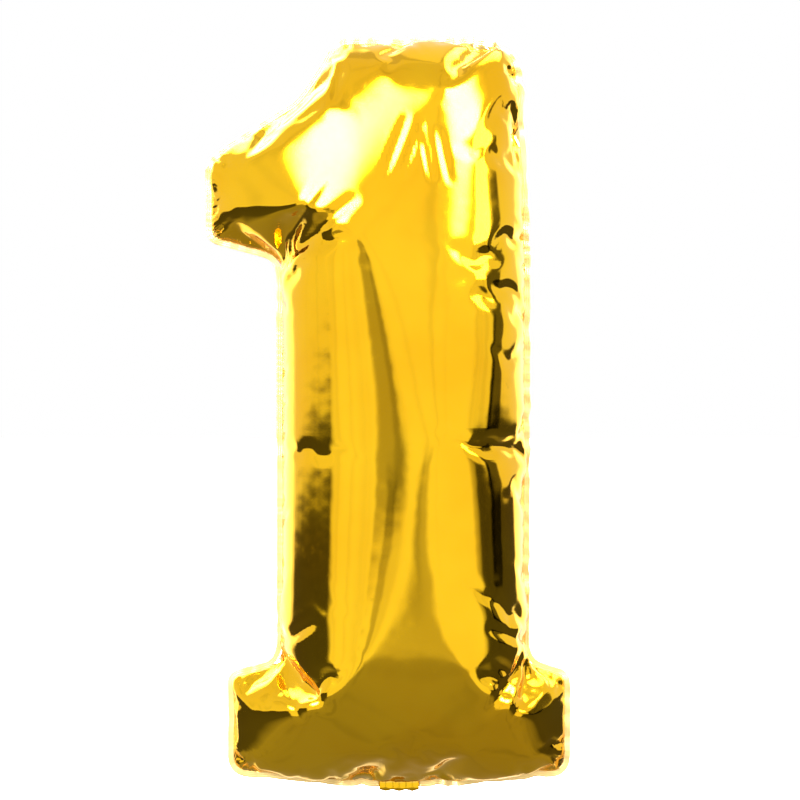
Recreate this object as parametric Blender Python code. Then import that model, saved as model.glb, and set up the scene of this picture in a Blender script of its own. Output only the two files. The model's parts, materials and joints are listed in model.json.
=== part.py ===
"""Foil number balloon: an inflated numeral one. Run with: blender --background --python part.py

Two metallised films are welded together round the edge of a fat numeral one, and the gas inside bows them apart.
A flat neck leaves the weld at the middle of the foot. The inflation tail is hinged to it by a fold, and lies folded
back under the foot. Two thin films that hang on the neck, inside the envelope, open like a duck's bill to let gas in
and lie shut against each other to keep it there.

Metres, +Z up, the front faces -Y. The origin is the tie point, at the middle of the foot's bottom edge.
"""

import math

import bmesh
import bpy
import numpy as np
from mathutils import Matrix, Vector, geometry

# The numeral, over the outer edge of the weld. Sideways sizes are from the centre line of the neck.
HEIGHT = 0.860
DEPTH = 0.240
STEM_LEFT = 0.141
STEM_RIGHT = 0.150
TOP_LEFT = 0.072
TOP_CORNER_RADIUS = 0.052
TOP_LEFT_RADIUS = 0.030

# The foot, whose bottom edge is bowed so that only its middle is straight.
FOOT_HALF_WIDTH = 0.197
FOOT_END_TOP = 0.132
FOOT_INNER_RISE = 0.014
FOOT_BOW = 0.013
FOOT_STRAIGHT_HALF = 0.060
FOOT_BOW_RADIUS = 0.300
FOOT_CORNER_RADIUS = 0.022

# The flag, measured sideways from the centre line and down from the top.
FLAG_REACH = 0.222
FLAG_TOP_DROP = 0.138
FLAG_END_HEIGHT = 0.096
FLAG_UNDER_DROP = 0.022
FLAG_KINK_REACH = 0.116
FLAG_KINK_DROP = 0.068
FLAG_KINK_RADIUS = 0.060
SMALL_CORNER_RADIUS = 0.014

# Films and the weld. The real films are 0.04 mm thick, and these stand in for them.
FILM = 0.0004
VALVE_FILM = 0.0003
WELD_WIDTH = 0.007
WELD_THICKNESS = 0.0008
CLEARANCE = 0.0003
NECK_PLY_GAP = 0.0004

# The neck, the tail that folds on it, and the tail's inflation hole.
NECK_WIDTH = 0.046
FOLD_BELOW_EDGE = 0.005
FOLD_CLEARANCE = 0.0015
TAIL_LENGTH = 0.050
TAIL_CORNER_RADIUS = 0.006
TAIL_SEAL_WIDTH = 0.004
TAIL_SEAL_FILM = 0.0004
TAIL_FOLD_DEGREES = 90
HOLE_RADIUS = 0.0045
HOLE_FROM_END = 0.015

# The valve's two films.
VALVE_WIDTH = 0.036
VALVE_LENGTH = 0.092
VALVE_ABOVE_WELD = 0.002
VALVE_GAP = 0.0004
VALVE_CORNER_RADIUS = 0.005

# How finely the curved films are divided.
EDGE_STEP = 0.018
ARC_STEP = math.radians(24)
RING_INSETS = (0.003, 0.010, 0.023)
LATTICE_STEP = 0.029
RING_KEEP = 0.9
LATTICE_MARGIN = 0.035

RIM_OFFSET = NECK_PLY_GAP / 2 + FILM
FOLD_Z = -FOLD_BELOW_EDGE


def clear_scene():
    for obj in list(bpy.data.objects):
        bpy.data.objects.remove(obj)


def foil_material():
    """Gold mirror film."""
    material = bpy.data.materials.new("gold_foil")
    material.use_nodes = True
    shader = material.node_tree.nodes["Principled BSDF"]
    shader.inputs["Base Color"].default_value = (0.95, 0.66, 0.10, 1)
    shader.inputs["Metallic"].default_value = 1.0
    shader.inputs["Roughness"].default_value = 0.08
    return material


def valve_material():
    """Clear, slightly milky polyethylene."""
    material = bpy.data.materials.new("valve_film")
    material.use_nodes = True
    shader = material.node_tree.nodes["Principled BSDF"]
    shader.inputs["Base Color"].default_value = (0.86, 0.88, 0.88, 1)
    shader.inputs["Roughness"].default_value = 0.30
    return material


def fillet(before, corner, after, radius):
    """Points of the arc that rounds a corner of a path."""
    back = (before - corner).normalized()
    on = (after - corner).normalized()
    angle = back.angle(on)
    start = corner + back * (radius / math.tan(angle / 2))
    centre = corner + (back + on).normalized() * (radius / math.sin(angle / 2))
    first = start - centre
    turn = math.pi - angle
    if back.cross(on) > 0:
        turn = -turn
    steps = max(2, math.ceil(abs(turn) / ARC_STEP))
    return [centre + Matrix.Rotation(turn * k / steps, 2) @ first for k in range(steps + 1)]


def divided(path, step):
    """The path with its long stretches divided into equal parts no longer than step."""
    points = [path[0]]
    for start, end in zip(path, path[1:]):
        parts = max(1, math.ceil((end - start).length / step))
        points += [start.lerp(end, k / parts) for k in range(1, parts + 1)]
    return points


def rounded_path(corners, closed=False):
    """A path through (x, z, radius) corners, each rounded by its radius."""
    spots = [Vector(corner[:2]) for corner in corners]
    path = []
    for index, (x, z, radius) in enumerate(corners):
        inner = closed or 0 < index < len(corners) - 1
        if radius and inner:
            path += fillet(spots[index - 1], spots[index], spots[(index + 1) % len(spots)], radius)
        else:
            path.append(spots[index])
    if closed:
        path.append(path[0])
    points = divided(path, EDGE_STEP)
    return points[:-1] if closed else points


def offset_path(points, distance):
    """An open path moved sideways, to its right, which is outwards on an anticlockwise path."""
    moved = []
    for index, point in enumerate(points):
        before = points[max(index - 1, 0)]
        after = points[min(index + 1, len(points) - 1)]
        sides = [
            Vector((step.y, -step.x)).normalized()
            for step in (point - before, after - point)
            if step.length > 0
        ]
        normal = sum(sides, Vector((0, 0))).normalized()
        moved.append(point + normal * (distance / normal.dot(sides[0])))
    return moved


def numeral_path(neck_half):
    """The weld's outer edge, anticlockwise from the neck's right side to its left side."""
    flag_top = HEIGHT - FLAG_TOP_DROP
    flag_bottom = flag_top - FLAG_END_HEIGHT
    foot_inner = FOOT_END_TOP + FOOT_INNER_RISE
    corners = [
        (neck_half, 0, 0),
        (FOOT_STRAIGHT_HALF, 0, FOOT_BOW_RADIUS),
        (FOOT_HALF_WIDTH, FOOT_BOW, FOOT_CORNER_RADIUS),
        (FOOT_HALF_WIDTH, FOOT_END_TOP, SMALL_CORNER_RADIUS),
        (STEM_RIGHT, foot_inner, SMALL_CORNER_RADIUS),
        (STEM_RIGHT, HEIGHT, TOP_CORNER_RADIUS),
        (-TOP_LEFT, HEIGHT, TOP_LEFT_RADIUS),
        (-FLAG_KINK_REACH, HEIGHT - FLAG_KINK_DROP, FLAG_KINK_RADIUS),
        (-FLAG_REACH, flag_top, SMALL_CORNER_RADIUS),
        (-FLAG_REACH, flag_bottom, SMALL_CORNER_RADIUS),
        (-STEM_LEFT, flag_bottom - FLAG_UNDER_DROP, SMALL_CORNER_RADIUS),
        (-STEM_LEFT, foot_inner, SMALL_CORNER_RADIUS),
        (-FOOT_HALF_WIDTH, FOOT_END_TOP, SMALL_CORNER_RADIUS),
        (-FOOT_HALF_WIDTH, FOOT_BOW, FOOT_CORNER_RADIUS),
        (-FOOT_STRAIGHT_HALF, 0, FOOT_BOW_RADIUS),
        (-neck_half, 0, 0),
    ]
    return rounded_path(corners)


def distance_to_loop(loop, spots):
    """Distance from each spot to a closed loop, and whether the spot is inside it."""
    nearest = np.full(len(spots), np.inf)
    inside = np.zeros(len(spots), bool)
    for start, end in zip(loop, np.roll(loop, -1, 0)):
        along = end - start
        share = np.clip((spots - start) @ along / (along @ along), 0, 1)
        nearest = np.minimum(nearest, np.linalg.norm(spots - start - share[:, None] * along, axis=1))
        if start[1] != end[1]:
            crosses = (start[1] > spots[:, 1]) != (end[1] > spots[:, 1])
            reach = start[0] + along[0] * (spots[:, 1] - start[1]) / along[1]
            inside ^= crosses & (spots[:, 0] < reach)
    return nearest, inside


def inner_spots(loop):
    """Points inside the loop: rings that follow it closely, then a triangular lattice."""
    found = []
    outline = [Vector(p) for p in loop]
    around = [outline[-1], *outline, outline[0]]
    for inset in RING_INSETS:
        ring = np.array(offset_path(around, -inset)[1:-1])
        nearest, inside = distance_to_loop(loop, ring)
        found.append(ring[inside & (nearest > RING_KEEP * inset)])
    low, high = loop.min(0), loop.max(0)
    row_height = LATTICE_STEP * math.sqrt(3) / 2
    rows = math.ceil((high[1] - low[1]) / row_height)
    columns = math.ceil((high[0] - low[0]) / LATTICE_STEP)
    lattice = np.array([
        (low[0] + (column + row % 2 / 2) * LATTICE_STEP, low[1] + row * row_height)
        for row in range(rows + 1)
        for column in range(columns + 1)
    ])
    nearest, inside = distance_to_loop(loop, lattice)
    found.append(lattice[inside & (nearest > LATTICE_MARGIN)])
    return np.concatenate(found)


def triangulated(loop):
    """(spots, triangles) that fill the loop. The loop's own points come first."""
    spots = np.concatenate([loop, inner_spots(loop)])
    count = len(loop)
    edges = [(k, (k + 1) % count) for k in range(count)]
    made = geometry.delaunay_2d_cdt([Vector(p) for p in spots], edges, [], 1, 1e-7)
    return np.array([tuple(p) for p in made[0]]), made[2]


def crown(spots, triangles, on_edge):
    """How far the gas bows a film out at each spot, from 0 at the weld to 1 at the deepest place.

    A stretched skin under even pressure solves Poisson's equation. The square root of its rise is a half circle
    across a long straight tube, which is how a film that can't stretch bows out.
    """
    size = len(spots)
    stiffness = np.zeros((size, size))
    load = np.zeros(size)
    for triangle in triangles:
        a, b, c = (spots[k] for k in triangle)
        edges = np.array([c - b, a - c, b - a])
        area = abs(edges[0, 0] * edges[1, 1] - edges[0, 1] * edges[1, 0]) / 2
        stiffness[np.ix_(triangle, triangle)] += edges @ edges.T / (4 * area)
        load[list(triangle)] += area / 3
    free = np.flatnonzero(~on_edge)
    rise = np.zeros(size)
    rise[free] = np.linalg.solve(stiffness[np.ix_(free, free)], load[free])
    return np.sqrt(rise / rise.max())


def add_object(name, mesh, material, parent=None):
    mesh.materials.append(material)
    obj = bpy.data.objects.new(name, mesh)
    bpy.context.scene.collection.objects.link(obj)
    obj.parent = parent
    return obj


def thicken(obj, thickness, offset):
    """Gives a sheet its thickness. Offset -1 grows it inwards, and 0 grows it evenly both ways."""
    solidify = obj.modifiers.new("film", "SOLIDIFY")
    solidify.thickness = thickness
    solidify.offset = offset
    solidify.use_even_offset = True
    solidify.thickness_clamp = 1.0


def foil_panel(name, side, material):
    """One film: the crown that the gas bows out, and its ply of the neck. Side is -1 for the front, 1 for the back."""
    neck_half = NECK_WIDTH / 2
    weld_line = offset_path(numeral_path(neck_half), -WELD_WIDTH)
    across_neck = divided([weld_line[-1], weld_line[0]], EDGE_STEP)
    loop = np.array([tuple(p) for p in weld_line + across_neck[1:-1]])
    spots, triangles = triangulated(loop)
    on_edge = np.arange(len(spots)) < len(loop)
    rise = crown(spots, triangles, on_edge) * (DEPTH / 2 - RIM_OFFSET)

    shape = bmesh.new()
    skin = [shape.verts.new((x, side * (RIM_OFFSET + y), z)) for (x, z), y in zip(spots, rise)]
    for triangle in triangles:
        shape.faces.new([skin[k] for k in triangle])
    neck_top = [skin[k] for k in range(len(weld_line) - 1, len(loop))] + [skin[0]]
    neck_end = FOLD_Z + FOLD_CLEARANCE
    neck_bottom = [shape.verts.new((vert.co.x, vert.co.y, neck_end)) for vert in neck_top]
    for left in range(len(neck_top) - 1):
        right = left + 1
        shape.faces.new([neck_top[left], neck_bottom[left], neck_bottom[right], neck_top[right]])
    if side > 0:
        bmesh.ops.reverse_faces(shape, faces=shape.faces)
    mesh = bpy.data.meshes.new(name)
    shape.to_mesh(mesh)
    shape.free()
    mesh.shade_smooth()
    thicken(add_object(name, mesh, material), FILM, -1)


def weld_flange(name, material):
    """The band where both films are fused. It is open at the neck."""
    outer = numeral_path(NECK_WIDTH / 2 + CLEARANCE)
    inner = offset_path(outer, CLEARANCE - WELD_WIDTH)
    shape = bmesh.new()
    outside, inside = ([shape.verts.new((x, 0, z)) for x, z in path] for path in (outer, inner))
    for k in range(len(outer) - 1):
        shape.faces.new([outside[k], outside[k + 1], inside[k + 1], inside[k]])
    mesh = bpy.data.meshes.new(name)
    shape.to_mesh(mesh)
    shape.free()
    thicken(add_object(name, mesh, material), WELD_THICKNESS, 0)


def plate(name, corners, middle, thickness, material, parent=None, location=(0, 0, 0)):
    """A flat film in the XZ plane, from its (x, z, radius) corners. Middle is where its mid-plane lies along Y."""
    shape = bmesh.new()
    front = middle - thickness / 2
    face = shape.faces.new([shape.verts.new((x, front, z)) for x, z in rounded_path(corners, closed=True)])
    grown = bmesh.ops.extrude_face_region(shape, geom=[face])
    moved = [item for item in grown["geom"] if isinstance(item, bmesh.types.BMVert)]
    bmesh.ops.translate(shape, vec=(0, thickness, 0), verts=moved)
    bmesh.ops.recalc_face_normals(shape, faces=shape.faces)
    mesh = bpy.data.meshes.new(name)
    shape.to_mesh(mesh)
    shape.free()
    obj = add_object(name, mesh, material, parent)
    obj.location = location
    return obj


def valve_films(material):
    """The duck's bill: two films shut against each other, each with its origin on its own hinge line."""
    half = VALVE_WIDTH / 2
    root = WELD_WIDTH + VALVE_ABOVE_WELD
    corners = [
        (-half, 0, 0),
        (half, 0, 0),
        (half, VALVE_LENGTH, VALVE_CORNER_RADIUS),
        (-half, VALVE_LENGTH, VALVE_CORNER_RADIUS),
    ]
    middle = (VALVE_GAP + VALVE_FILM) / 2
    for name, side in (("valve_film_front", -1), ("valve_film_back", 1)):
        plate(name, corners, 0, VALVE_FILM, material, location=(0, side * middle, root))


def tail_corners(left, right, radius):
    return [(left, -TAIL_LENGTH, radius), (right, -TAIL_LENGTH, radius), (right, -CLEARANCE, 0), (left, -CLEARANCE, 0)]


def punch_inflation_hole(ply):
    bpy.ops.mesh.primitive_cylinder_add(
        vertices=24,
        radius=HOLE_RADIUS,
        depth=10 * FILM,
        location=(0, ply["middle"], HOLE_FROM_END - TAIL_LENGTH),
        rotation=(math.radians(90), 0, 0),
    )
    punch = bpy.context.object
    punch.name = "inflation_hole_punch"
    punch.parent = ply.parent
    punch.hide_render = True
    punch.display_type = "WIRE"
    cut = ply.modifiers.new("inflation_hole", "BOOLEAN")
    cut.operation = "DIFFERENCE"
    cut.object = punch


def tail(material):
    """The inflation tail: two plies and the seals down their sides, on an empty on the fold's axis."""
    fold = bpy.data.objects.new("tail_fold", None)
    bpy.context.scene.collection.objects.link(fold)
    fold.location = (0, 0, FOLD_Z)
    fold.rotation_euler = (math.radians(TAIL_FOLD_DEGREES), 0, 0)
    half = NECK_WIDTH / 2
    ply_middle = TAIL_SEAL_FILM / 2 + CLEARANCE + FILM / 2
    for name, side in (("tail_front_ply", -1), ("tail_back_ply", 1)):
        corners = tail_corners(-half, half, TAIL_CORNER_RADIUS)
        ply = plate(name, corners, side * ply_middle, FILM, material, fold)
        ply["middle"] = side * ply_middle
        if side < 0:
            punch_inflation_hole(ply)
    inner = half - TAIL_SEAL_WIDTH
    plate("tail_seal_left", tail_corners(-half, -inner, 0), 0, TAIL_SEAL_FILM, material, fold)
    plate("tail_seal_right", tail_corners(inner, half, 0), 0, TAIL_SEAL_FILM, material, fold)


def main():
    clear_scene()
    foil = foil_material()
    foil_panel("front_foil_panel", -1, foil)
    foil_panel("back_foil_panel", 1, foil)
    weld_flange("heat_seal_flange", foil)
    valve_films(valve_material())
    tail(foil)


main()
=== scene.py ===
"""Looks of a foil number balloon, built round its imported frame.

The envelope is made as the real one is: two flat films, cut wider and taller than the full balloon, are
welded round their edge and inflated. The neck and the folded tail, the valve's films and the studio are
built round it. Sizes are in metres.
"""

import json
import math

import bmesh
import bpy
import numpy as np
from bpy.props import FloatProperty, FloatVectorProperty, IntProperty, PointerProperty
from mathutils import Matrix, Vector, geometry


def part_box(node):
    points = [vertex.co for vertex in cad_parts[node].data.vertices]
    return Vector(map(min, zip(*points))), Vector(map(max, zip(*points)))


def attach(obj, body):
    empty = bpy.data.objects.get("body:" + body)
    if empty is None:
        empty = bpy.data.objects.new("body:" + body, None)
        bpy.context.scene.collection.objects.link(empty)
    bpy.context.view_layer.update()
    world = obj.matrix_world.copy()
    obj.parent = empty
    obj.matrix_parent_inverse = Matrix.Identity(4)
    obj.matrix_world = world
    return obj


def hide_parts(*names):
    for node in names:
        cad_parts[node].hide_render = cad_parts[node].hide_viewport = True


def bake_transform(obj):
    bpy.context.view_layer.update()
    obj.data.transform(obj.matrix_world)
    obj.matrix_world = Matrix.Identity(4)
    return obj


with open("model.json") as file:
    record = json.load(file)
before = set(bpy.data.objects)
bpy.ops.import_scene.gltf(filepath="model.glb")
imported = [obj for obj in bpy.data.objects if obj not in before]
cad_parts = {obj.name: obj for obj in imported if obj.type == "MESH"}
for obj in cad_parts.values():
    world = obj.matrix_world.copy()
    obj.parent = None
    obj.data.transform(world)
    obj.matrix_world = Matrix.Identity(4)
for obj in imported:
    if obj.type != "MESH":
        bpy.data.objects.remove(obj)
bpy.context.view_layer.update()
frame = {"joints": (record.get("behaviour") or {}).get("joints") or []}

bl_info = {
    "name": "Foil number balloon",
    "version": (1, 0, 0),
    "blender": (4, 5, 0),
    "location": "View3D > Sidebar > Balloon",
    "description": "Inflates a foil numeral one and sets it in a plain studio",
    "category": "Object",
}

WELD_LOW, WELD_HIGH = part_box("heat_seal_flange")
PANEL_DEPTH = -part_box("front_foil_panel")[0].y
TAIL_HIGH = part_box("tail_front_ply")[1]
VALVE_LOW, VALVE_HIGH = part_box("valve_film_front")
FOLD_AXIS = Vector(next(joint for joint in frame["joints"] if joint["name"] == "tail_fold")["pos_m"])
NECK_HALF = TAIL_HIGH.x

# Thicknesses of the tail's film, the valve's film, the weld and the tail's side seals.
TAIL_FILM = 0.00012
VALVE_FILM = 0.0001
WELD_FILM = 0.0003
SEAL_FILM = 0.0004

# How far the neck's films run on inside the weld, and the rounding of the tail's corners.
NECK_INSIDE = 0.002
TAIL_CORNER = 0.006

# Rows of points that follow the weld inside it, in mesh steps.
WELD_ROWS = (0.6, 1.4, 2.3)

# The full numeral's corners along the weld's outer edge, as (x, z, corner radius), anticlockwise from the
# neck. The weld's own box sets the widest and the highest.
FULL_NUMERAL = [
    (0.060, 0.000, 0.300),
    (WELD_HIGH.x, 0.013, 0.022),
    (WELD_HIGH.x, 0.132, 0.014),
    (0.150, 0.146, 0.014),
    (0.151, 0.620, 0.300),
    (0.140, WELD_HIGH.z, 0.052),
    (-0.072, WELD_HIGH.z, 0.030),
    (-0.116, 0.792, 0.060),
    (WELD_LOW.x, 0.722, 0.014),
    (WELD_LOW.x, 0.626, 0.014),
    (-0.141, 0.604, 0.014),
    (-0.141, 0.146, 0.014),
    (-WELD_HIGH.x, 0.132, 0.014),
    (-WELD_HIGH.x, 0.013, 0.022),
    (-0.060, 0.000, 0.300),
]
# The flat films' weld line, corner for corner, with how far the edge after each corner is bowed outwards.
FLAT_NUMERAL = [
    (0.066, 0.005, 0.300, 0.000),
    (0.201, 0.030, 0.025, 0.003),
    (0.236, 0.136, 0.014, 0.000),
    (0.211, 0.186, 0.020, 0.005),
    (0.198, 0.692, 0.300, 0.003),
    (0.170, 0.948, 0.070, 0.004),
    (-0.082, 0.952, 0.050, 0.000),
    (-0.144, 0.883, 0.070, 0.006),
    (-0.248, 0.804, 0.020, 0.004),
    (-0.266, 0.715, 0.020, 0.001),
    (-0.219, 0.648, 0.020, 0.000),
    (-0.204, 0.184, 0.020, 0.000),
    (-0.238, 0.132, 0.014, 0.000),
    (-0.201, 0.029, 0.025, 0.000),
    (-0.067, 0.005, 0.300, 0.008),
]

# Creases at the full numeral's inner corners, as (x, z) to (x, z), depth and width.
CORNER_FOLDS = [
    (-0.134, 0.600, -0.052, 0.664, 0.0040, 0.0080),
    (-0.136, 0.612, -0.082, 0.690, 0.0025, 0.0060),
    (-0.134, 0.152, -0.082, 0.104, 0.0045, 0.0075),
    (-0.138, 0.142, -0.110, 0.090, 0.0025, 0.0055),
    (-0.135, 0.168, -0.098, 0.196, 0.0025, 0.0060),
    (0.146, 0.152, 0.102, 0.098, 0.0045, 0.0075),
    (0.148, 0.142, 0.128, 0.086, 0.0025, 0.0055),
    (0.146, 0.170, 0.104, 0.190, 0.0025, 0.0060),
]
# Wrinkles where the flag's crown pulls on the stem's.
CROWN_FOLDS = [
    (-0.016, 0.694, 0.008, 0.758, 0.0018, 0.0042),
    (0.004, 0.696, 0.024, 0.752, 0.0014, 0.0040),
    (0.024, 0.754, 0.036, 0.690, 0.0020, 0.0042),
    (0.045, 0.744, 0.056, 0.688, 0.0015, 0.0040),
]

# What the foil mirrors in front, at the sides and behind, as (height, brightness). Height 0 is straight
# down, 0.5 is level and 1 is straight up.
FRONT_STOPS = ((0.0, 0.30), (0.27, 0.40), (0.305, 1.1), (0.87, 1.1), (0.92, 0.84), (1.0, 0.8))
SIDE_STOPS = ((0.0, 0.30), (0.20, 0.36), (0.29, 0.09), (0.480, 0.07), (0.491, 1.0), (0.9, 0.9))
BACK_STOPS = ((0.0, 0.28), (0.12, 0.36), (0.20, 1.6), (0.36, 2.0), (0.70, 2.2), (0.80, 0.7), (1.0, 0.7))
BACKDROP = (1.1, 1.1, 1.1, 1)
# Bright patches in what the foil mirrors: degrees round from the camera and up, inner and outer angle, and
# brightness.
PATCHES = ((-36, 36, 6, 24, 65), (47, 31, 5, 17, 65), (-138, 44, 8, 22, 9), (112, 58, 8, 22, 9))
# Lamps: name, degrees round from the camera and up, width and height, brightness, and whether the foil
# mirrors them.
LAMPS = (
    ("softbox_key", -31, 38, (2.2, 1.7), 20, False),
    ("softbox_fill", 27, 50, (1.0, 0.8), 20, False),
    ("softbox_strip", 68, 19, (0.85, 0.85), 9, True),
)
LAMP_DISTANCE = 3


class BalloonFilm(bpy.types.PropertyGroup):
    """The films, their weld and how hard they are blown up."""

    mesh_step: FloatProperty(
        name="Mesh step", description="Spacing of the film's points", default=0.0075, unit="LENGTH"
    )
    weld_width: FloatProperty(
        name="Weld width", description="Width of the fused band", default=0.007, unit="LENGTH"
    )
    frames: IntProperty(
        name="Inflation steps", description="Frames that the gas is given to fill the films", default=60
    )
    pressure: FloatProperty(name="Pressure", description="Gas pressure in the cloth solver", default=20.0)
    stretch: FloatProperty(
        name="Stretch", description="How stiffly the film resists being stretched", default=200.0
    )
    crush: FloatProperty(
        name="Crush", description="How stiffly the film resists being crushed", default=60.0
    )
    bend: FloatProperty(name="Bend", description="How stiffly the film resists a fold", default=0.05)
    ruffle_pitch: FloatProperty(
        name="Ruffle pitch", description="Length of one ruffle along the weld", default=0.024, unit="LENGTH"
    )
    pucker_pitch: FloatProperty(
        name="Pucker pitch",
        description="Usual spacing of the creases that start at the weld",
        default=0.032,
        unit="LENGTH",
    )
    pucker_reach: FloatProperty(
        name="Pucker reach",
        description="How far those creases run into the film",
        default=0.036,
        unit="LENGTH",
    )
    pucker_depth: FloatProperty(
        name="Pucker depth", description="How deep those creases are", default=0.0028, unit="LENGTH"
    )
    ruffle_reach: FloatProperty(
        name="Ruffle reach", description="How far a ruffle runs into the film", default=0.012, unit="LENGTH"
    )


class BalloonGold(bpy.types.PropertyGroup):
    """The metallised finish."""

    colour: FloatVectorProperty(
        name="Gold",
        description="Colour of the metal",
        subtype="COLOR",
        size=4,
        default=(0.97, 0.56, 0.012, 1),
    )
    deep_colour: FloatVectorProperty(
        name="Deep gold",
        description="Colour where the lacquer lies thicker",
        subtype="COLOR",
        size=4,
        default=(0.93, 0.49, 0.008, 1),
    )
    # Painted highlight: a paler gold laid on the weld and on the film just beside it, standing in for the
    # light rim of reflection along the balloon's edge.
    rim_highlight_colour: FloatVectorProperty(
        name="Pale gold",
        description="Colour of the fused edge, where the crimped film scatters the light",
        subtype="COLOR",
        size=4,
        default=(1.0, 0.86, 0.56, 1),
    )
    roughness: FloatProperty(name="Roughness", description="Blur of the metal", default=0.07, min=0, max=1)
    crinkle: FloatProperty(
        name="Crinkle",
        description="Height of the fine creases beside the weld",
        default=0.00015,
        unit="LENGTH",
    )
    crease_pitch: FloatProperty(
        name="Crease pitch",
        description="Spacing of the fine creases along the weld",
        default=0.0065,
        unit="LENGTH",
    )
    crease_reach: FloatProperty(
        name="Crease reach",
        description="How far the fine creases run into the film",
        default=0.026,
        unit="LENGTH",
    )


class BalloonTail(bpy.types.PropertyGroup):
    """The pleated neck and the folded tail."""

    fold_radius: FloatProperty(
        name="Fold radius",
        description="Radius of the fold between neck and tail",
        default=0.0022,
        unit="LENGTH",
    )
    pleat_height: FloatProperty(
        name="Pleat height", description="Half height of the neck's pleats", default=0.0016, unit="LENGTH"
    )
    pleats: IntProperty(name="Pleats", description="Pleats across the neck", default=3)
    hole_radius: FloatProperty(
        name="Hole radius", description="Radius of the inflation hole", default=0.0045, unit="LENGTH"
    )
    hole_from_end: FloatProperty(
        name="Hole from end",
        description="From the tail's end to the hole's middle",
        default=0.015,
        unit="LENGTH",
    )


class BalloonStage(bpy.types.PropertyGroup):
    """Floor, lights and camera."""

    floor_drop: FloatProperty(
        name="Floor drop", description="How far the floor lies under the neck", default=0.12, unit="LENGTH"
    )
    lens: FloatProperty(name="Lens", description="Focal length in millimetres", default=100.0)
    view_height: FloatProperty(
        name="View height",
        description="Height of the framed field at the weld",
        default=0.920,
        unit="LENGTH",
    )
    aim_height: FloatProperty(
        name="Aim height", description="Height of the camera over the neck", default=0.444, unit="LENGTH"
    )


# Shader maths


class Value:
    """A shader socket that takes part in Python arithmetic. Each operation adds one Math node."""

    def __init__(self, recipe, socket):
        self.recipe = recipe
        self.socket = socket

    def maths(self, operation, *values):
        """The value of one Math node."""
        return self.recipe.node("ShaderNodeMath", {"operation": operation}, *values)

    def __add__(self, other):
        return self.maths("ADD", self, other)

    def __sub__(self, other):
        return self.maths("SUBTRACT", self, other)

    def __rsub__(self, other):
        return self.maths("SUBTRACT", other, self)

    def __mul__(self, other):
        return self.maths("MULTIPLY", self, other)

    def __truediv__(self, other):
        return self.maths("DIVIDE", self, other)

    def __pow__(self, other):
        return self.maths("POWER", self, other)

    __radd__ = __add__
    __rmul__ = __mul__


class Recipe:
    """The node tree of a material or a world."""

    def __init__(self, owner):
        owner.use_nodes = True
        self.tree = owner.node_tree
        self.tree.nodes.clear()

    def node(self, kind, settings=None, *values, output=0, **sockets):
        """One node. Settings are set first, then its sockets, by place or by name. It gives one output."""
        made = self.tree.nodes.new(kind)
        for name, value in (settings or {}).items():
            if name == "stops":
                self.set_stops(made.color_ramp, value)
            else:
                setattr(made, name, value)
        for name, value in [*enumerate(values), *sockets.items()]:
            socket = self.find(made.inputs, name)
            if isinstance(value, Value):
                self.tree.links.new(value.socket, socket)
            else:
                socket.default_value = value
        return Value(self, self.find(made.outputs, output)) if made.outputs else made

    @staticmethod
    def find(sockets, name):
        """A socket by its place, or by its name or identifier with underscores for spaces."""
        if isinstance(name, int):
            return sockets[name]
        for socket in sockets:
            if name in (socket.identifier, socket.name.replace(" ", "_")):
                return socket
        raise KeyError(name)

    @staticmethod
    def set_stops(ramp, stops):
        """Gives a colour ramp these (place, colour) stops."""
        while len(ramp.elements) < len(stops):
            ramp.elements.new(1)
        for element, (position, colour) in zip(ramp.elements, stops):
            element.position = position
            element.color = colour

    def mix(self, factor, first, second):
        """A colour mix."""
        return self.node(
            "ShaderNodeMix",
            {"data_type": "RGBA"},
            output="Result_Color",
            Factor_Float=factor,
            A_Color=first,
            B_Color=second,
        )

    def smooth(self, value, low, high, first=0.0, last=1.0):
        """A smooth step from first to last as value goes from low to high."""
        return self.node(
            "ShaderNodeMapRange",
            {"interpolation_type": "SMOOTHSTEP"},
            value,
            From_Min=low,
            From_Max=high,
            To_Min=first,
            To_Max=last,
        )

    def split(self, vector):
        """The three parts of a vector."""
        first = self.node("ShaderNodeSeparateXYZ", None, vector)
        return [Value(self, socket) for socket in first.socket.node.outputs]

    def join(self, *parts):
        """A vector of three values."""
        return self.node("ShaderNodeCombineXYZ", None, *parts)

    def lobe(self, direction, centre, inner, outer):
        """One within the inner angle of a direction, zero beyond the outer angle, in degrees."""
        product = {"operation": "DOT_PRODUCT"}
        near = self.node("ShaderNodeVectorMath", product, direction, centre, output="Value")
        return self.smooth(near, math.cos(math.radians(outer)), math.cos(math.radians(inner)))

    def ramp(self, value, stops):
        """A grey that follows (place, brightness) stops."""
        shades = [(place, (bright, bright, bright, 1)) for place, bright in stops]
        return self.node("ShaderNodeValToRGB", {"stops": shades}, value)

    def band(self, value, low, high, edge):
        """One between low and high, with soft edges."""
        return self.smooth(value, low - edge / 2, low + edge / 2) * self.smooth(
            value, high - edge / 2, high + edge / 2, 1.0, 0.0
        )

    def sine(self, value):
        """The sine of a value in radians."""
        return self.node("ShaderNodeMath", {"operation": "SINE"}, value)

    def noise(self, place, scale, detail=2.0, roughness=0.5):
        """Soft noise between 0 and 1."""
        settings = {"Scale": scale, "Detail": detail, "Roughness": roughness}
        return self.node("ShaderNodeTexNoise", None, Vector=place, **settings)


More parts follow.
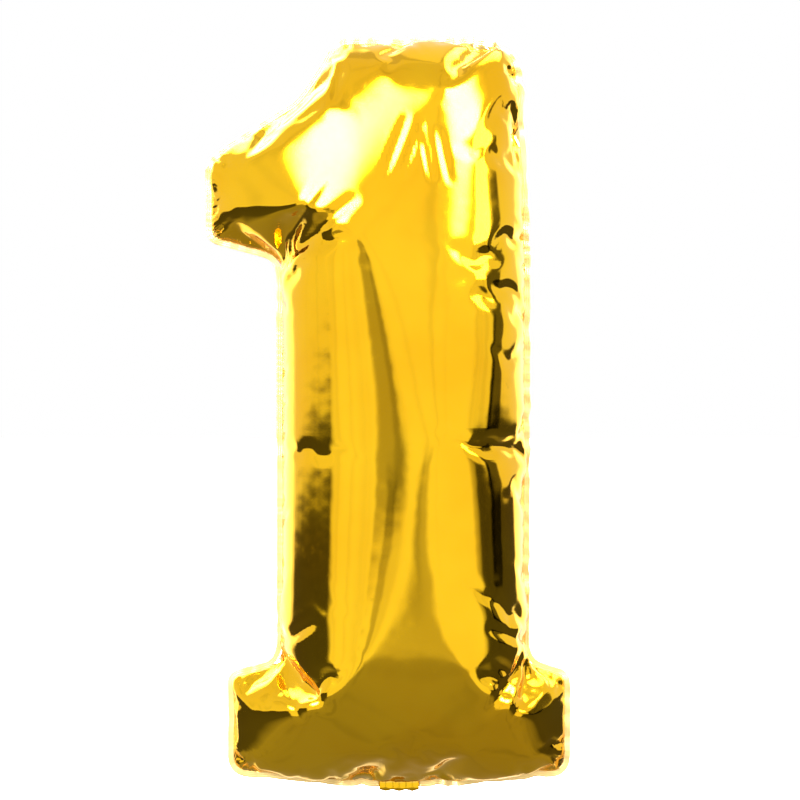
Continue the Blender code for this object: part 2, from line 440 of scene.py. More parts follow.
def foil_finish(name, seal_lines=0):
    """Gold metal under a clear film, with fine creases that run in from the weld and fade, and a paler gold
    painted at the weld as a highlight.
    """
    gold = bpy.context.scene.balloon_gold
    material = bpy.data.materials.new(name)
    recipe = Recipe(material)
    place = recipe.node("ShaderNodeTexCoord", output=3)
    run = recipe.node("ShaderNodeAttribute", {"attribute_name": "weld_run"}, output=2)
    away = recipe.node("ShaderNodeAttribute", {"attribute_name": "weld_distance"}, output=2)

    waver = recipe.noise(place, 24.0)
    bunches = recipe.smooth(recipe.noise(place, 13.0, 1.0), 0.42, 0.62)
    near = recipe.smooth(away, 0.0, gold.crease_reach, 1.0, 0.0)
    crease = recipe.sine(run * (2 * math.pi / gold.crease_pitch) + waver * 9.0)
    peel = recipe.noise(place, 38.0, 1.0)
    grain = recipe.noise(place, 420.0, 2.0, 0.6)
    depth = near * bunches * (gold.crinkle * (0.25 if seal_lines else 1.0))
    height = crease * depth + peel * 0.00020 + grain * 0.000006
    roughness = gold.roughness + near * 0.05
    # Painted highlight: the colour turns towards the pale gold at the weld and fades out over a few
    # millimetres beside it, for the light rim along the edge.
    highlight_reach, highlight_share = 0.006, 0.45
    pale = recipe.smooth(away, 0.0, highlight_reach, highlight_share, 0.0)
    if seal_lines:
        across = recipe.node("ShaderNodeAttribute", {"attribute_name": "weld_across"}, output=2)
        height = height + recipe.sine(across * (2 * math.pi * seal_lines)) * 0.00004
        roughness = roughness + 0.25
    bump = recipe.node("ShaderNodeBump", None, Strength=1.0, Distance=1.0, Height=height)

    patches = recipe.noise(place, 7.0, 3.0)
    colour = recipe.mix(recipe.smooth(patches, 0.35, 0.70), gold.colour, gold.deep_colour)
    colour = recipe.mix(pale, colour, gold.rim_highlight_colour)
    scuff = recipe.smooth(recipe.noise(place, 95.0, 4.0, 0.65), 0.58, 0.80)
    shader = recipe.node(
        "ShaderNodeBsdfPrincipled",
        None,
        Base_Color=colour,
        Metallic=1.0,
        Roughness=roughness + scuff * 0.08,
        Normal=bump,
        Coat_Weight=0.1,
        Coat_Roughness=0.03,
        Coat_IOR=1.5,
    )
    recipe.node("ShaderNodeOutputMaterial", None, Surface=shader)
    return material


def clear_film_finish():
    """Clear polyethylene, milkier where its two films are sealed together."""
    material = bpy.data.materials.new("clear_valve_film")
    recipe = Recipe(material)
    place = recipe.node("ShaderNodeTexCoord", output=3)
    sealed = recipe.node("ShaderNodeAttribute", {"attribute_name": "seal_near"}, output=2)
    streaks = recipe.noise(place, 160.0, 3.0)
    haze = recipe.smooth(streaks, 0.3, 0.8, 0.0, 0.25) + sealed * 0.4
    colour = recipe.mix(haze, (0.80, 0.84, 0.85, 1), (0.95, 0.96, 0.96, 1))
    height = streaks * 0.00008 + recipe.sine(sealed * (2 * math.pi * 4)) * 0.00003
    bump = recipe.node("ShaderNodeBump", None, Strength=1.0, Distance=1.0, Height=height)
    shader = recipe.node(
        "ShaderNodeBsdfPrincipled",
        None,
        Base_Color=colour,
        Roughness=0.18 + haze * 0.3,
        Alpha=0.35 + haze * 0.4,
        Normal=bump,
        IOR=1.51,
    )
    recipe.node("ShaderNodeOutputMaterial", None, Surface=shader)
    return material


# Outlines and flat films


def corner_arc(before, corner, after, radius):
    """(start, centre, turn) of the arc that rounds a corner of an outline."""
    back = (before - corner).normalized()
    onward = (after - corner).normalized()
    angle = back.angle(onward)
    start = corner + back * (radius / math.tan(angle / 2))
    centre = corner + (back + onward).normalized() * (radius / math.sin(angle / 2))
    turn = math.pi - angle
    return start, centre, -turn if back.cross(onward) > 0 else turn


def along_arc(start, centre, turn, share):
    """The point at this share of an arc."""
    spoke = start - centre
    cosine, sine = math.cos(turn * share), math.sin(turn * share)
    return centre + Vector((spoke.x * cosine - spoke.y * sine, spoke.x * sine + spoke.y * cosine))


def outline(corners, step, counts=None):
    """(points, counts) of a closed outline. Two outlines of the same counts match point for point."""
    spots = [Vector(corner[:2]) for corner in corners]
    arcs = [
        corner_arc(spots[k - 1], spots[k], spots[(k + 1) % len(spots)], corners[k][2])
        for k in range(len(spots))
    ]
    points = []
    used = []
    for k, arc in enumerate(arcs):
        begin = along_arc(*arc, 1)
        end = arcs[(k + 1) % len(arcs)][0]
        run = end - begin
        if counts:
            around, across = counts[k]
        else:
            length = abs(arc[2]) * (arc[0] - arc[1]).length
            around, across = max(2, 2 * round(length / step / 2)), max(1, round(run.length / step))
        used.append((around, across))
        points += [along_arc(*arc, share / around) for share in range(around + 1)]
        bow = corners[k][3] if len(corners[k]) > 3 else 0
        side = Vector((run.y, -run.x)).normalized()
        for part in range(1, across):
            share = part / across
            points.append(begin + run * share + side * (4 * bow * share * (1 - share)))
    return np.array(points), used


def inset_corners(corners, distance):
    """The corners of the outline that lies this far inside."""
    spots = [Vector(corner[:2]) for corner in corners]
    moved = []
    for k, (corner, radius) in enumerate(zip(spots, (corner[2] for corner in corners))):
        before = (corner - spots[k - 1]).normalized()
        after = (spots[(k + 1) % len(spots)] - corner).normalized()
        inward = Vector((-before.y - after.y, before.x + after.x)).normalized()
        place = corner + inward * (distance / inward.dot(Vector((-after.y, after.x))))
        turns_left = before.cross(after) > 0
        moved.append((place.x, place.y, radius - distance if turns_left else radius + distance))
    return moved


def outward(points):
    """The unit normals of an anticlockwise loop, outwards."""
    along = np.roll(points, -1, 0) - np.roll(points, 1, 0)
    along /= np.linalg.norm(along, axis=1)[:, None]
    return np.stack([along[:, 1], -along[:, 0]], 1)


def distance_to(loop, spots):
    """For each spot: its distance to a closed loop, the nearest edge's index, and whether it is inside."""
    nearest = np.full(len(spots), np.inf)
    which = np.zeros(len(spots), int)
    inside = np.zeros(len(spots), bool)
    for k, (start, end) in enumerate(zip(loop, np.roll(loop, -1, 0))):
        edge = end - start
        share = np.clip((spots - start) @ edge / (edge @ edge), 0, 1)
        apart = np.linalg.norm(spots - start - share[:, None] * edge, axis=1)
        which[apart < nearest] = k
        nearest = np.minimum(nearest, apart)
        if start[1] != end[1]:
            crosses = (start[1] > spots[:, 1]) != (end[1] > spots[:, 1])
            inside ^= crosses & (spots[:, 0] < start[0] + edge[0] * (spots[:, 1] - start[1]) / edge[1])
    return nearest, which, inside


def fill(loop, step, rings=(), hole=None):
    """(spots, faces) that fill a loop with quads where they fit. The loop's points come first."""
    ring_room, grid_room, hole_room, same_spot = 0.96, 0.62, 0.5, 1e-7
    found = [loop]
    for inset in rings:
        ring = loop - outward(loop) * (inset * step)
        apart, _, inside = distance_to(loop, ring)
        found.append(ring[inside & (apart > ring_room * inset * step)])
    low, high = np.floor(loop.min(0) / step), np.ceil(loop.max(0) / step)
    columns, rows = (np.arange(low[axis], high[axis] + 1) * step for axis in (0, 1))
    grid = np.stack([side.ravel() for side in np.meshgrid(columns, rows)], 1)
    apart, _, inside = distance_to(loop, grid)
    keep = inside & (apart > ((max(rings) if rings else 0) + grid_room) * step)
    if hole is not None:
        apart, _, within = distance_to(hole, grid)
        keep &= ~within & (apart > hole_room * step)
        found.append(hole)
    found.append(grid[keep])
    spots = np.concatenate(found)
    edges = [(k, (k + 1) % len(loop)) for k in range(len(loop))]
    if hole is not None:
        edges += [(len(loop) + k, len(loop) + (k + 1) % len(hole)) for k in range(len(hole))]
    inside_only = 1
    flat = [Vector(spot) for spot in spots]
    made = geometry.delaunay_2d_cdt(flat, edges, [], inside_only, same_spot)
    spots = np.array([tuple(spot) for spot in made[0]])
    triangles = made[2]
    if hole is not None:
        middles = np.array([spots[list(triangle)].mean(0) for triangle in triangles])
        _, _, within = distance_to(hole, middles)
        triangles = [triangle for triangle, gone in zip(triangles, within) if not gone]
    return spots, paired(spots, triangles)


def paired(spots, triangles):
    """The triangles joined two by two into quads, all anticlockwise."""
    shape = bmesh.new()
    verts = [shape.verts.new((x, y, 0)) for x, y in spots]
    for triangle in triangles:
        shape.faces.new([verts[k] for k in triangle])
    shape.verts.index_update()
    shape.normal_update()
    bmesh.ops.join_triangles(shape, faces=shape.faces, angle_face_threshold=0.5, angle_shape_threshold=0.6)
    shape.normal_update()
    faces = []
    for face in shape.faces:
        corners = [vert.index for vert in face.verts]
        faces.append(corners if face.normal.z > 0 else corners[::-1])
    shape.free()
    return faces


def grid_faces(rows, columns):
    """The quads of a grid whose points run row after row."""
    return [
        (row * columns + k, row * columns + k + 1, (row + 1) * columns + k + 1, (row + 1) * columns + k)
        for row in range(rows - 1)
        for k in range(columns - 1)
    ]


# The envelope


def flat_films(spots, faces, rim_count):
    """(object, points) of two flat films that share their first rim_count points, and of their weld.

    The front film's points come first, then the back film's own and the weld's outer edge. A small gap that
    starts at the weld keeps the films apart.
    """
    start_gap, ramp = 0.002, 0.01
    count = len(spots)
    rim = spots[:rim_count]
    apart, _, _ = distance_to(rim, spots)
    lift = start_gap * np.minimum(apart / ramp, 1)
    lift[:rim_count] = 0
    front = np.stack([spots[:, 0], -lift, spots[:, 1]], 1)
    back = front[rim_count:] * [1, -1, 1]
    edge = rim + outward(rim) * bpy.context.scene.balloon_film.weld_width
    band = np.stack([edge[:, 0], np.zeros(rim_count), edge[:, 1]], 1)
    points = np.concatenate([front, back, band])
    first = len(front) + len(back)
    skins = [list(face) for face in faces]
    skins += [[k if k < rim_count else k + count - rim_count for k in reversed(face)] for face in faces]
    weld = [(k, first + k, first + (k + 1) % rim_count, (k + 1) % rim_count) for k in range(rim_count)]
    mesh = bpy.data.meshes.new("inflating_films")
    mesh.from_pydata(points.tolist(), [], skins + weld)
    obj = bpy.data.objects.new("inflating_films", mesh)
    bpy.context.scene.collection.objects.link(obj)
    obj.vertex_groups.new(name="gas").add(list(range(first)), 1.0, "REPLACE")
    return obj, points


def inflate(spots, faces, rim_count):
    """Blows up two matching films that share their first rim_count points. It gives (front, back)."""
    film = bpy.context.scene.balloon_film
    obj, points = flat_films(spots, faces, rim_count)
    cloth = obj.modifiers.new("films", "CLOTH")
    settings = cloth.settings
    settings.quality = 6
    settings.mass = 0.05
    settings.air_damping = 10
    settings.bending_model = "ANGULAR"
    settings.tension_stiffness = film.stretch
    settings.compression_stiffness = film.crush
    settings.shear_stiffness = film.stretch / 5
    settings.bending_stiffness = film.bend
    settings.tension_damping = settings.compression_damping = settings.shear_damping = 10
    settings.bending_damping = 0.5
    settings.use_pressure = True
    settings.uniform_pressure_force = film.pressure
    settings.vertex_group_pressure = "gas"
    settings.effector_weights.gravity = 0
    cloth.collision_settings.use_collision = False
    scene = bpy.context.scene
    frames = film.frames
    cloth.point_cache.frame_start = 1
    cloth.point_cache.frame_end = frames
    for frame_number in range(1, frames + 1):
        scene.frame_set(frame_number)
    result = obj.evaluated_get(bpy.context.evaluated_depsgraph_get()).data
    full = np.empty(len(points) * 3, np.float32)
    result.vertices.foreach_get("co", full)
    full = full.reshape(-1, 3).astype(float)
    bpy.data.objects.remove(obj)
    scene.frame_set(1)
    count = len(spots)
    own_back = full[count : 2 * count - rim_count]
    return full[:count], np.concatenate([full[:rim_count], own_back])


def eased(values, spread, step):
    """Values along a closed loop, each averaged with its neighbours over about the spread."""
    count = len(values)
    steps = np.minimum(np.arange(count), count - np.arange(count)) * step
    weight = np.exp(-((steps / spread) ** 2) / 2)
    weight /= weight.sum()
    return np.real(np.fft.ifft(np.fft.fft(values, axis=0) * np.fft.fft(weight)[:, None], axis=0))


def settle(front, back, spots, target):
    """Moves the inflated films so that their weld, but for small waves, lies on the frame's weld line."""
    film = bpy.context.scene.balloon_film
    count = len(target)
    gap = np.stack([target[:, 0], np.zeros(count), target[:, 1]], 1) - front[:count]
    spread, near = 0.008, 0.025
    gap = eased(gap, spread, film.mesh_step)
    pull = 1 / (((spots[:, None] - spots[None, :count]) ** 2).sum(2) + near**2) ** 1.5
    pull /= pull.sum(1)[:, None]
    shift = pull @ gap
    shift[:count] = gap
    moved = []
    for points in (front, back):
        placed = points + shift
        placed[:, 1] *= PANEL_DEPTH / np.abs(placed[:, 1]).max()
        moved.append(placed)
    return moved


def ruffles(rim, flat_rim):
    """(height, run): how high the weld's edge waves at each rim point, and the run along the weld."""
    film = bpy.context.scene.balloon_film
    spread, least_slack, most_slack = 0.02, 0.006, 0.14
    flat = np.linalg.norm(np.roll(flat_rim, -1, 0) - flat_rim, axis=1)
    full = np.linalg.norm(np.roll(rim, -1, 0) - rim, axis=1)
    run = np.concatenate([[0], np.cumsum(flat)[:-1]])
    slack = eased((flat / full)[:, None], spread, film.mesh_step)[:, 0] - 1
    height = film.ruffle_pitch / math.pi * np.sqrt(np.clip(slack, least_slack, most_slack))
    phase = run * (2 * math.pi / film.ruffle_pitch) + 1.3 * np.sin(run * 37 + 1) + 0.9 * np.sin(run * 83)
    return height * np.sin(phase) * (0.75 + 0.25 * np.sin(run * 29 + 2)), run


def add_piece(name, points, faces, material, levels=1, thickness=0.0, attributes=None):
    """A smooth mesh piece, with named values on its points for the finish to read."""
    mesh = bpy.data.meshes.new(name)
    mesh.from_pydata(np.asarray(points, float).tolist(), [], [list(face) for face in faces])
    for key, values in (attributes or {}).items():
        mesh.attributes.new(key, "FLOAT", "POINT").data.foreach_set("value", np.asarray(values, np.float32))
    if material:
        mesh.materials.append(material)
    mesh.shade_smooth()
    obj = bpy.data.objects.new(name, mesh)
    bpy.context.scene.collection.objects.link(obj)
    if levels:
        subdivide = obj.modifiers.new("smooth", "SUBSURF")
        subdivide.levels = subdivide.render_levels = levels
    if thickness:
        solid = obj.modifiers.new("film", "SOLIDIFY")
        solid.thickness = thickness
        solid.offset = 0
    return obj


def refined(points, faces, attributes):
    """One smooth subdivision of a mesh, as (points, normals, faces, attributes)."""
    obj = add_piece("refined", points, faces, None, attributes=attributes)
    mesh = obj.evaluated_get(bpy.context.evaluated_depsgraph_get()).data
    points, normals = (np.empty(len(mesh.vertices) * 3, np.float32) for _ in range(2))
    mesh.vertices.foreach_get("co", points)
    mesh.vertex_normals.foreach_get("vector", normals)
    faces = [list(face.vertices) for face in mesh.polygons]
    values = {}
    for key in attributes:
        values[key] = np.empty(len(mesh.vertices), np.float32)
        mesh.attributes[key].data.foreach_get("value", values[key])
    bpy.data.objects.remove(obj)
    return points.reshape(-1, 3).astype(float), normals.reshape(-1, 3).astype(float), faces, values


def valley(off, width):
    """The depth across a crease, from one at its bottom to its slightly raised shoulders."""
    return 1.3 * np.exp(-((off / width) ** 2)) - 0.3 * np.exp(-((off / (2.4 * width)) ** 2))


def puckered(points, normals, run, apart, length, seed):
    """The film with creases pressed into it that start at the weld, at uneven places all round."""
    film = bpy.context.scene.balloon_film
    random = np.random.RandomState(seed)
    starts_over, narrow, wide = 0.006, 0.0045, 0.0080
    sunk = np.zeros(len(points))
    place = 0.0
    while place < length - film.pucker_pitch / 2:
        reach = film.pucker_reach * random.uniform(0.5, 1.6)
        depth = film.pucker_depth * random.uniform(0.3, 1.3)
        width = random.uniform(narrow, wide)
        off = run - place - random.uniform(-0.5, 0.5) * apart
        fade = np.clip(1 - apart / reach, 0, 1) * np.clip(apart / starts_over, 0, 1)
        sunk += depth * valley(off, width) * fade
        place += film.pucker_pitch * random.uniform(0.5, 1.5)
    return points - normals * sunk[:, None]


def creased(points, normals, folds):
    """The film with single straight creases pressed into it, deepest at their middles."""
    plane = points[:, [0, 2]]
    sunk = np.zeros(len(points))
    for start_x, start_z, end_x, end_z, depth, width in folds:
        start = np.array([start_x, start_z])
        along = np.array([end_x, end_z]) - start
        share = np.clip((plane - start) @ along / (along @ along), 0, 1)
        off = np.linalg.norm(plane - start - share[:, None] * along, axis=1)
        sunk += depth * valley(off, width) * np.sin(math.pi * (0.12 + 0.76 * share))
    return points - normals * sunk[:, None]


def weld_strip(rim, lift, run, width):
    """(points, faces, attributes) of the fused band, from one side of the neck round to the other."""
    spread, foot_edge, end_lift, weld_lift = 0.006, 0.05, 0.3, 0.55
    away = outward(eased(rim[:, [0, 2]], spread, bpy.context.scene.balloon_film.mesh_step))
    at_neck = (np.abs(rim[:, 0]) < NECK_HALF) & (rim[:, 2] < WELD_LOW.z + foot_edge)
    first = np.flatnonzero(~at_neck & np.roll(at_neck, 1))[0]
    order = (np.arange(int((~at_neck).sum()) + 2) + first - 1) % len(rim)
    line, away, lift, place = rim[order], away[order], lift[order], run[order]
    # The run starts again part of the way round, so the stretch before that counts up to zero.
    place[: int(np.argmin(place))] -= run[-1] + run[1]
    for end, beside in ((0, 1), (-1, -2)):
        share = (abs(line[beside, 0]) - NECK_HALF) / (abs(line[beside, 0]) - abs(line[end, 0]))
        line[end] = line[beside] + (line[end] - line[beside]) * share
        away[end] = (0, -1)
        lift[end] *= end_lift
    shares = (0.0, 0.12, 0.5, 0.88, 1.0)
    points = []
    for share in shares:
        row = line.copy()
        row[:, [0, 2]] += away * (width * share)
        row[:, 1] += lift * weld_lift * share
        points.append(row)
    size = len(order)
    faces = [
        (level * size + k, (level + 1) * size + k, (level + 1) * size + k + 1, level * size + k + 1)
        for level in range(len(shares) - 1)
        for k in range(size - 1)
    ]
    attributes = {
        "weld_run": np.tile(place, len(shares)),
        "weld_distance": np.zeros(size * len(shares)),
        "weld_across": np.repeat(shares, size),
    }
    return np.concatenate(points), faces, attributes


class BALLOON_OT_envelope(bpy.types.Operator):
    """Cut, weld and inflate the two films."""

    bl_idname = "balloon.envelope"
    bl_label = "Inflate envelope"

    def execute(self, context):
        film = context.scene.balloon_film
        step = film.mesh_step * 1
        flat_rim, counts = outline(FLAT_NUMERAL, step)
        target, _ = outline(inset_corners(FULL_NUMERAL, film.weld_width), step, counts)
        spots, faces = fill(flat_rim, step, rings=WELD_ROWS)
        count = len(flat_rim)
        front, back = inflate(spots, faces, count)
        front, back = settle(front, back, spots, target)
        wave, run = ruffles(front[:count], flat_rim)
        apart, which, _ = distance_to(flat_rim, spots)
        film_share = 0.45
        fade = film_share * np.exp(-apart / film.ruffle_reach)
        for points in (front, back):
            points[:, 1] += wave[which] * fade
        foil = foil_finish("gold_foil_skin")
        near_weld = {"weld_run": run[which], "weld_distance": apart}
        turned = [list(reversed(face)) for face in faces]
        for name, node, points, sides, folds, seed in (
            ("front_foil_skin", "front_foil_panel", front, faces, CORNER_FOLDS + CROWN_FOLDS, 11),
            ("back_foil_skin", "back_foil_panel", back, turned, CORNER_FOLDS, 5),
        ):
            points, normals, sides, values = refined(points, sides, near_weld)
            points = puckered(points, normals, values["weld_run"], values["weld_distance"], run[-1], seed)
            points = creased(points, normals, folds)
            skin = add_piece(name, points, sides, foil, levels=0, attributes=values)
            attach(skin, "envelope")
            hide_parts(node)
        points, sides, attributes = weld_strip(front[:count], wave, run, film.weld_width)
        weld = foil_finish("gold_foil_weld", seal_lines=3)
        band = add_piece("welded_edge", points, sides, weld, thickness=WELD_FILM, attributes=attributes)
        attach(band, "envelope")
        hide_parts("heat_seal_flange")
        return {"FINISHED"}


# The neck and the tail


def tail_place(across, along, offset):
    """Where a point of the neck and tail lies, from its place across, along and off the film's middle.

    Along counts from inside the weld.
    """
    settings = bpy.context.scene.balloon_tail
    radius = settings.fold_radius
    drop = bpy.context.scene.balloon_film.weld_width + NECK_INSIDE - FOLD_AXIS.z - radius
    bend = radius * math.pi / 2
    turned = np.clip((along - drop) / bend, 0, 1) * (math.pi / 2)
    straight = np.minimum(along, drop)
    beyond = np.maximum(along - drop - bend, 0)
    middle_y = radius * (1 - np.cos(turned)) + beyond
    middle_z = FOLD_AXIS.z + radius + drop - straight - radius * np.sin(turned)
    normal_y, normal_z = -np.cos(turned), -np.sin(turned)
    return np.stack([across, middle_y + normal_y * offset, middle_z + normal_z * offset], 1)


def tail_lengths():
    """(to the fold's middle, to the tail's end) along the neck and tail."""
    settings = bpy.context.scene.balloon_tail
    drop = bpy.context.scene.balloon_film.weld_width + NECK_INSIDE - FOLD_AXIS.z - settings.fold_radius
    bend = settings.fold_radius * math.pi / 2
    return drop + bend / 2, drop + bend + TAIL_HIGH.y - settings.fold_radius


def pleated(across, along, side):
    """How far a ply lies off the middle, with the pleats that both plies share and the tail's fullness."""
    settings = bpy.context.scene.balloon_tail
    pleated_to, fades_over, wrinkles, fullest, half_gap = 0.004, 0.020, 0.00025, 0.0011, 0.0005
    fold, end = tail_lengths()
    open_share = np.clip((along - fold) / (end - fold), 0, 1)
    pleat = settings.pleat_height * np.exp(-np.maximum(along - pleated_to, 0) / fades_over)
    wave = pleat * np.cos(across / NECK_HALF * math.pi * settings.pleats)
    wrinkle = wrinkles * np.sin(along * 520 + across * 160) * np.sin(across * 300 + 1)
    fullness = fullest * np.cos(across / NECK_HALF * math.pi / 2) * np.sin(open_share * math.pi)
    return wave + wrinkle + side * (half_gap + fullness)


class BALLOON_OT_tail(bpy.types.Operator):
    """Pleat the neck and fold the inflation tail."""

    bl_idname = "balloon.tail"
    bl_label = "Fold neck and tail"

    def execute(self, context):
        self.add_plies(context.scene.balloon_tail, foil_finish("gold_foil_tail"))
        self.add_side_seals(foil_finish("gold_foil_side_seal", seal_lines=5))
        return {"FINISHED"}

    def add_plies(self, settings, foil):
        """The two films of the neck and tail. The front one has the hole, and faces down behind the fold."""
        step, square, hole_points = 0.0023, 0.0002, 24
        half, corner = NECK_HALF, TAIL_CORNER
        _, end = tail_lengths()
        corners = [(half, 0, square), (half, end, corner), (-half, end, corner), (-half, 0, square)]
        loop, _ = outline(corners, step)
        middle = end - settings.hole_from_end
        turns = np.arange(hole_points) * (2 * math.pi / hole_points)
        radius = settings.hole_radius
        hole = np.stack([radius * np.cos(turns), middle + radius * np.sin(turns)], 1)
        for name, node, side, gap in (
            ("neck_and_tail_front_film", "tail_front_ply", 1, hole),
            ("neck_and_tail_back_film", "tail_back_ply", -1, None),
        ):
            spots, faces = fill(loop, step, hole=gap)
            across, along = spots[:, 0], spots[:, 1]
            points = tail_place(across, along, pleated(across, along, side))
            attributes = {"weld_run": across, "weld_distance": along}
            if side < 0:
                faces = [list(reversed(face)) for face in faces]
            piece = add_piece(name, points, faces, foil, thickness=TAIL_FILM, attributes=attributes)
            self.fold_and_stand(piece, node)

    def add_side_seals(self, weld):
        """The fused strips along the tail's two sides."""
        seal_width, columns, rows = 0.004, 5, 22
        fold, end = tail_lengths()
        shares = np.linspace(0, 1, columns)
        runs = np.linspace(fold, end - TAIL_CORNER, rows)
        faces = grid_faces(rows, columns)
        for name, node, side in (
            ("tail_left_side_seal", "tail_seal_left", -1),
            ("tail_right_side_seal", "tail_seal_right", 1),
        ):
            lines = side * (NECK_HALF - seal_width * shares)
            across, along = (grid.ravel() for grid in np.meshgrid(lines, runs))
            points = tail_place(across, along, pleated(across, along, 0))
            attributes = {
                "weld_run": along,
                "weld_distance": np.zeros(len(along)),
                "weld_across": np.tile(shares, rows),
            }
            piece = add_piece(name, points, faces, weld, thickness=SEAL_FILM, attributes=attributes)
            self.fold_and_stand(piece, node)

    @staticmethod
    def fold_and_stand(piece, node):
        """Bakes a piece's placing into its points and lets it stand for its CAD node, which it hides."""
        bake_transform(piece)
        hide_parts(node)


# The valve


class BALLOON_OT_valve(bpy.types.Operator):
    """Hang the duck-bill valve's two clear films."""

    bl_idname = "balloon.valve"
    bl_label = "Hang valve films"

    def execute(self, context):
        film = clear_film_finish()
        round_from, seal_share, half_gap, widest = 0.93, 0.18, 0.00035, 0.0018
        half = VALVE_HIGH.x
        length = VALVE_HIGH.z - VALVE_LOW.z
        shares = np.linspace(-1, 1, 17)
        rises = np.linspace(0, 1, 41)
        sides, ups = (grid.ravel() for grid in np.meshgrid(shares, rises))
        rounding = 1 - 0.12 * np.clip((ups - round_from) / 0.07, 0, 1) ** 2
        across = sides * half * rounding
        height = VALVE_LOW.z + ups * length
        inner = np.clip((1 - np.abs(sides)) / seal_share, 0, 1)
        parted = widest * np.sin(ups * math.pi / 2) ** 2 * inner * np.cos(sides * math.pi / 2)
        drape = 0.0010 * np.sin(ups * 9 + sides * 1.5) * ups + 0.0004 * np.sin(sides * 11 + ups * 4) * ups
        faces = grid_faces(len(rises), len(shares))
        for name, node, body, side in (
            ("valve_front_film", "valve_film_front", "valve_front", -1),
            ("valve_back_film", "valve_film_back", "valve_back", 1),
        ):
            points = np.stack([across, drape + side * (half_gap + parted), height], 1)
            attributes = {"seal_near": 1 - inner}
            turned = faces if side < 0 else [tuple(reversed(face)) for face in faces]
            piece = add_piece(name, points, turned, film, thickness=VALVE_FILM, attributes=attributes)
            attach(piece, body)
            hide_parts(node)
        return {"FINISHED"}


# The stage


def aim(turn, rise):
    """The direction at these degrees round from the camera and up."""
    turn, rise = math.radians(turn), math.radians(rise)
    return Vector((math.sin(turn) * math.cos(rise), -math.cos(turn) * math.cos(rise), math.sin(rise)))


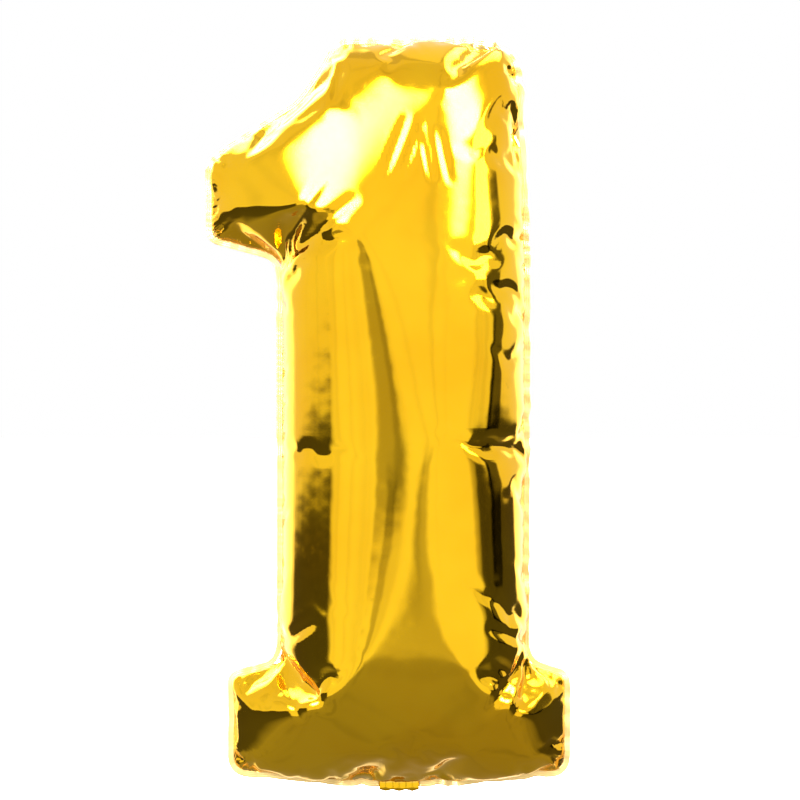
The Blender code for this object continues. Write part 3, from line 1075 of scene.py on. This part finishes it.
class BALLOON_OT_stage(bpy.types.Operator):
    """Lay the floor and set the lights and the camera."""

    bl_idname = "balloon.stage"
    bl_label = "Set stage"

    def execute(self, context):
        stage = context.scene.balloon_stage
        self.lay_floor(stage)
        self.set_surroundings()
        for name, turn, rise, size, glare, mirrored in LAMPS:
            self.softbox(name, aim(turn, rise), size, glare, mirrored, stage.aim_height)
        right_of_neck = 0.001
        camera = bpy.data.objects.new("camera", bpy.data.cameras.new("camera"))
        camera.data.lens = stage.lens
        distance = stage.view_height * stage.lens / camera.data.sensor_width
        camera.location = (right_of_neck, -distance, stage.aim_height)
        camera.rotation_euler = (math.radians(90), 0, 0)
        context.scene.collection.objects.link(camera)
        context.scene.camera = camera
        context.scene.view_settings.view_transform = "Standard"
        return {"FINISHED"}

    @staticmethod
    def lay_floor(stage):
        """A wide pale floor under the neck."""
        bpy.ops.mesh.primitive_plane_add(size=60, location=(0, 0, -stage.floor_drop))
        floor = bpy.context.object
        floor.name = "floor"
        material = bpy.data.materials.new("studio_floor")
        recipe = Recipe(material)
        place = recipe.node("ShaderNodeTexCoord", output=3)
        tone = recipe.smooth(recipe.noise(place, 0.8), 0.3, 0.7)
        colour = recipe.mix(tone, (0.92, 0.92, 0.91, 1), (0.95, 0.95, 0.945, 1))
        shader = recipe.node(
            "ShaderNodeBsdfPrincipled",
            None,
            Base_Color=colour,
            Roughness=0.8,
            Emission_Color=(1, 1, 1, 1),
            Emission_Strength=0.4,
        )
        recipe.node("ShaderNodeOutputMaterial", None, Surface=shader)
        floor.data.materials.append(material)
        floor.visible_glossy = False

    @staticmethod
    def set_surroundings():
        """What the foil mirrors: a bright room, dark low at its sides, with an overexposed backdrop."""
        world = bpy.data.worlds.new("studio")
        bpy.context.scene.world = world
        recipe = Recipe(world)
        direction = recipe.node("ShaderNodeTexCoord")
        side, depth, height = recipe.split(direction)
        blur = recipe.noise(direction, 3.2, 1.5) - 0.5
        ahead = depth / (1.0001 - height * height) ** 0.5 + blur * 0.34
        level = height * 0.5 + blur * 0.022 + recipe.smooth(side, -0.3, 0.3, 0.511, 0.5)
        front = recipe.ramp(level, FRONT_STOPS)
        sides = recipe.ramp(level, SIDE_STOPS)
        back = recipe.ramp(level, BACK_STOPS)
        glow = recipe.mix(recipe.smooth(ahead, -0.53, -0.43), front, sides)
        glow = recipe.mix(recipe.smooth(ahead, 0.48, 0.62), glow, back)
        straight_back = recipe.smooth(ahead, 0.84, 0.97) * recipe.smooth(height, -0.4, -0.2)
        glow = recipe.mix(straight_back, glow, BACKDROP)

        facing = recipe.smooth(depth, -0.2, 0.2, 1.0, 0.0)
        stand = recipe.band(side + blur * 0.3, -0.32, -0.05, 0.07) * recipe.band(height, -0.14, 0.08, 0.07)
        legs = recipe.band(side, -0.22, -0.12, 0.05) + recipe.band(side, 0.10, 0.24, 0.08)
        legs = legs * recipe.band(height, -0.42, -0.11, 0.08)
        upright = recipe.noise(recipe.join(side * 6.0, depth * 6.0, height), 1.0, 1.0)
        drapes = recipe.smooth(upright, 0.50, 0.75)
        shade = facing * (stand * 0.55 + legs * 0.45 + drapes * 0.18)
        doorway = recipe.band(ahead, -0.12, 0.10, 0.06) * recipe.band(height, -0.10, 0.25, 0.04)
        shade = shade + doorway * recipe.smooth(side, 0.2, 0.4) * 0.88
        glow = recipe.mix(shade, glow, (0.0, 0.0, 0.0, 1))
        for turn, rise, inner, outer, glare in PATCHES:
            lit = recipe.lobe(direction, aim(turn, rise), inner, outer)
            glow = recipe.mix(lit, glow, (glare, glare, glare, 1))

        camera_ray = recipe.node("ShaderNodeLightPath")
        colour = recipe.mix(camera_ray, glow, (1, 1, 1, 1))
        background = recipe.node("ShaderNodeBackground", None, Color=colour, Strength=1.0)
        recipe.node("ShaderNodeOutputWorld", None, Surface=background)

    @staticmethod
    def softbox(name, away, size, glare, mirrored, aim_height):
        """A lamp that lies this way from the balloon's middle."""
        light = bpy.data.lights.new(name, "AREA")
        light.shape = "RECTANGLE"
        light.size, light.size_y = size
        light.energy = glare * math.pi * size[0] * size[1]
        lamp = bpy.data.objects.new(name, light)
        lamp.location = away * LAMP_DISTANCE + Vector((0, 0, aim_height))
        lamp.rotation_mode = "QUATERNION"
        lamp.rotation_quaternion = away.to_track_quat("Z", "Y")
        lamp.visible_glossy = mirrored
        bpy.context.scene.collection.objects.link(lamp)


class BALLOON_PT_panel(bpy.types.Panel):
    """The balloon's operators and sizes."""

    bl_idname = "BALLOON_PT_panel"
    bl_label = "Foil number balloon"
    bl_space_type = "VIEW_3D"
    bl_region_type = "UI"
    bl_category = "Balloon"

    def draw(self, context):
        for name, group in GROUPS.items():
            box = self.layout.box()
            for key in group.__annotations__:
                box.prop(getattr(context.scene, name), key)
        for operator in OPERATORS:
            self.layout.operator(operator.bl_idname)


GROUPS = {
    "balloon_film": BalloonFilm,
    "balloon_gold": BalloonGold,
    "balloon_tail": BalloonTail,
    "balloon_stage": BalloonStage,
}
OPERATORS = (BALLOON_OT_envelope, BALLOON_OT_tail, BALLOON_OT_valve, BALLOON_OT_stage)


def register():
    """Adds the classes and the scene's settings."""
    for kind in (*GROUPS.values(), *OPERATORS, BALLOON_PT_panel):
        bpy.utils.register_class(kind)
    for name, group in GROUPS.items():
        setattr(bpy.types.Scene, name, PointerProperty(type=group))


def unregister():
    """Takes them away again."""
    for name in GROUPS:
        delattr(bpy.types.Scene, name)
    for kind in reversed((*GROUPS.values(), *OPERATORS, BALLOON_PT_panel)):
        bpy.utils.unregister_class(kind)


def main():
    """Builds the balloon and its stage."""
    register()
    bpy.ops.balloon.envelope()
    bpy.ops.balloon.tail()
    bpy.ops.balloon.valve()
    bpy.ops.balloon.stage()


if __name__ == "__main__":
    main()
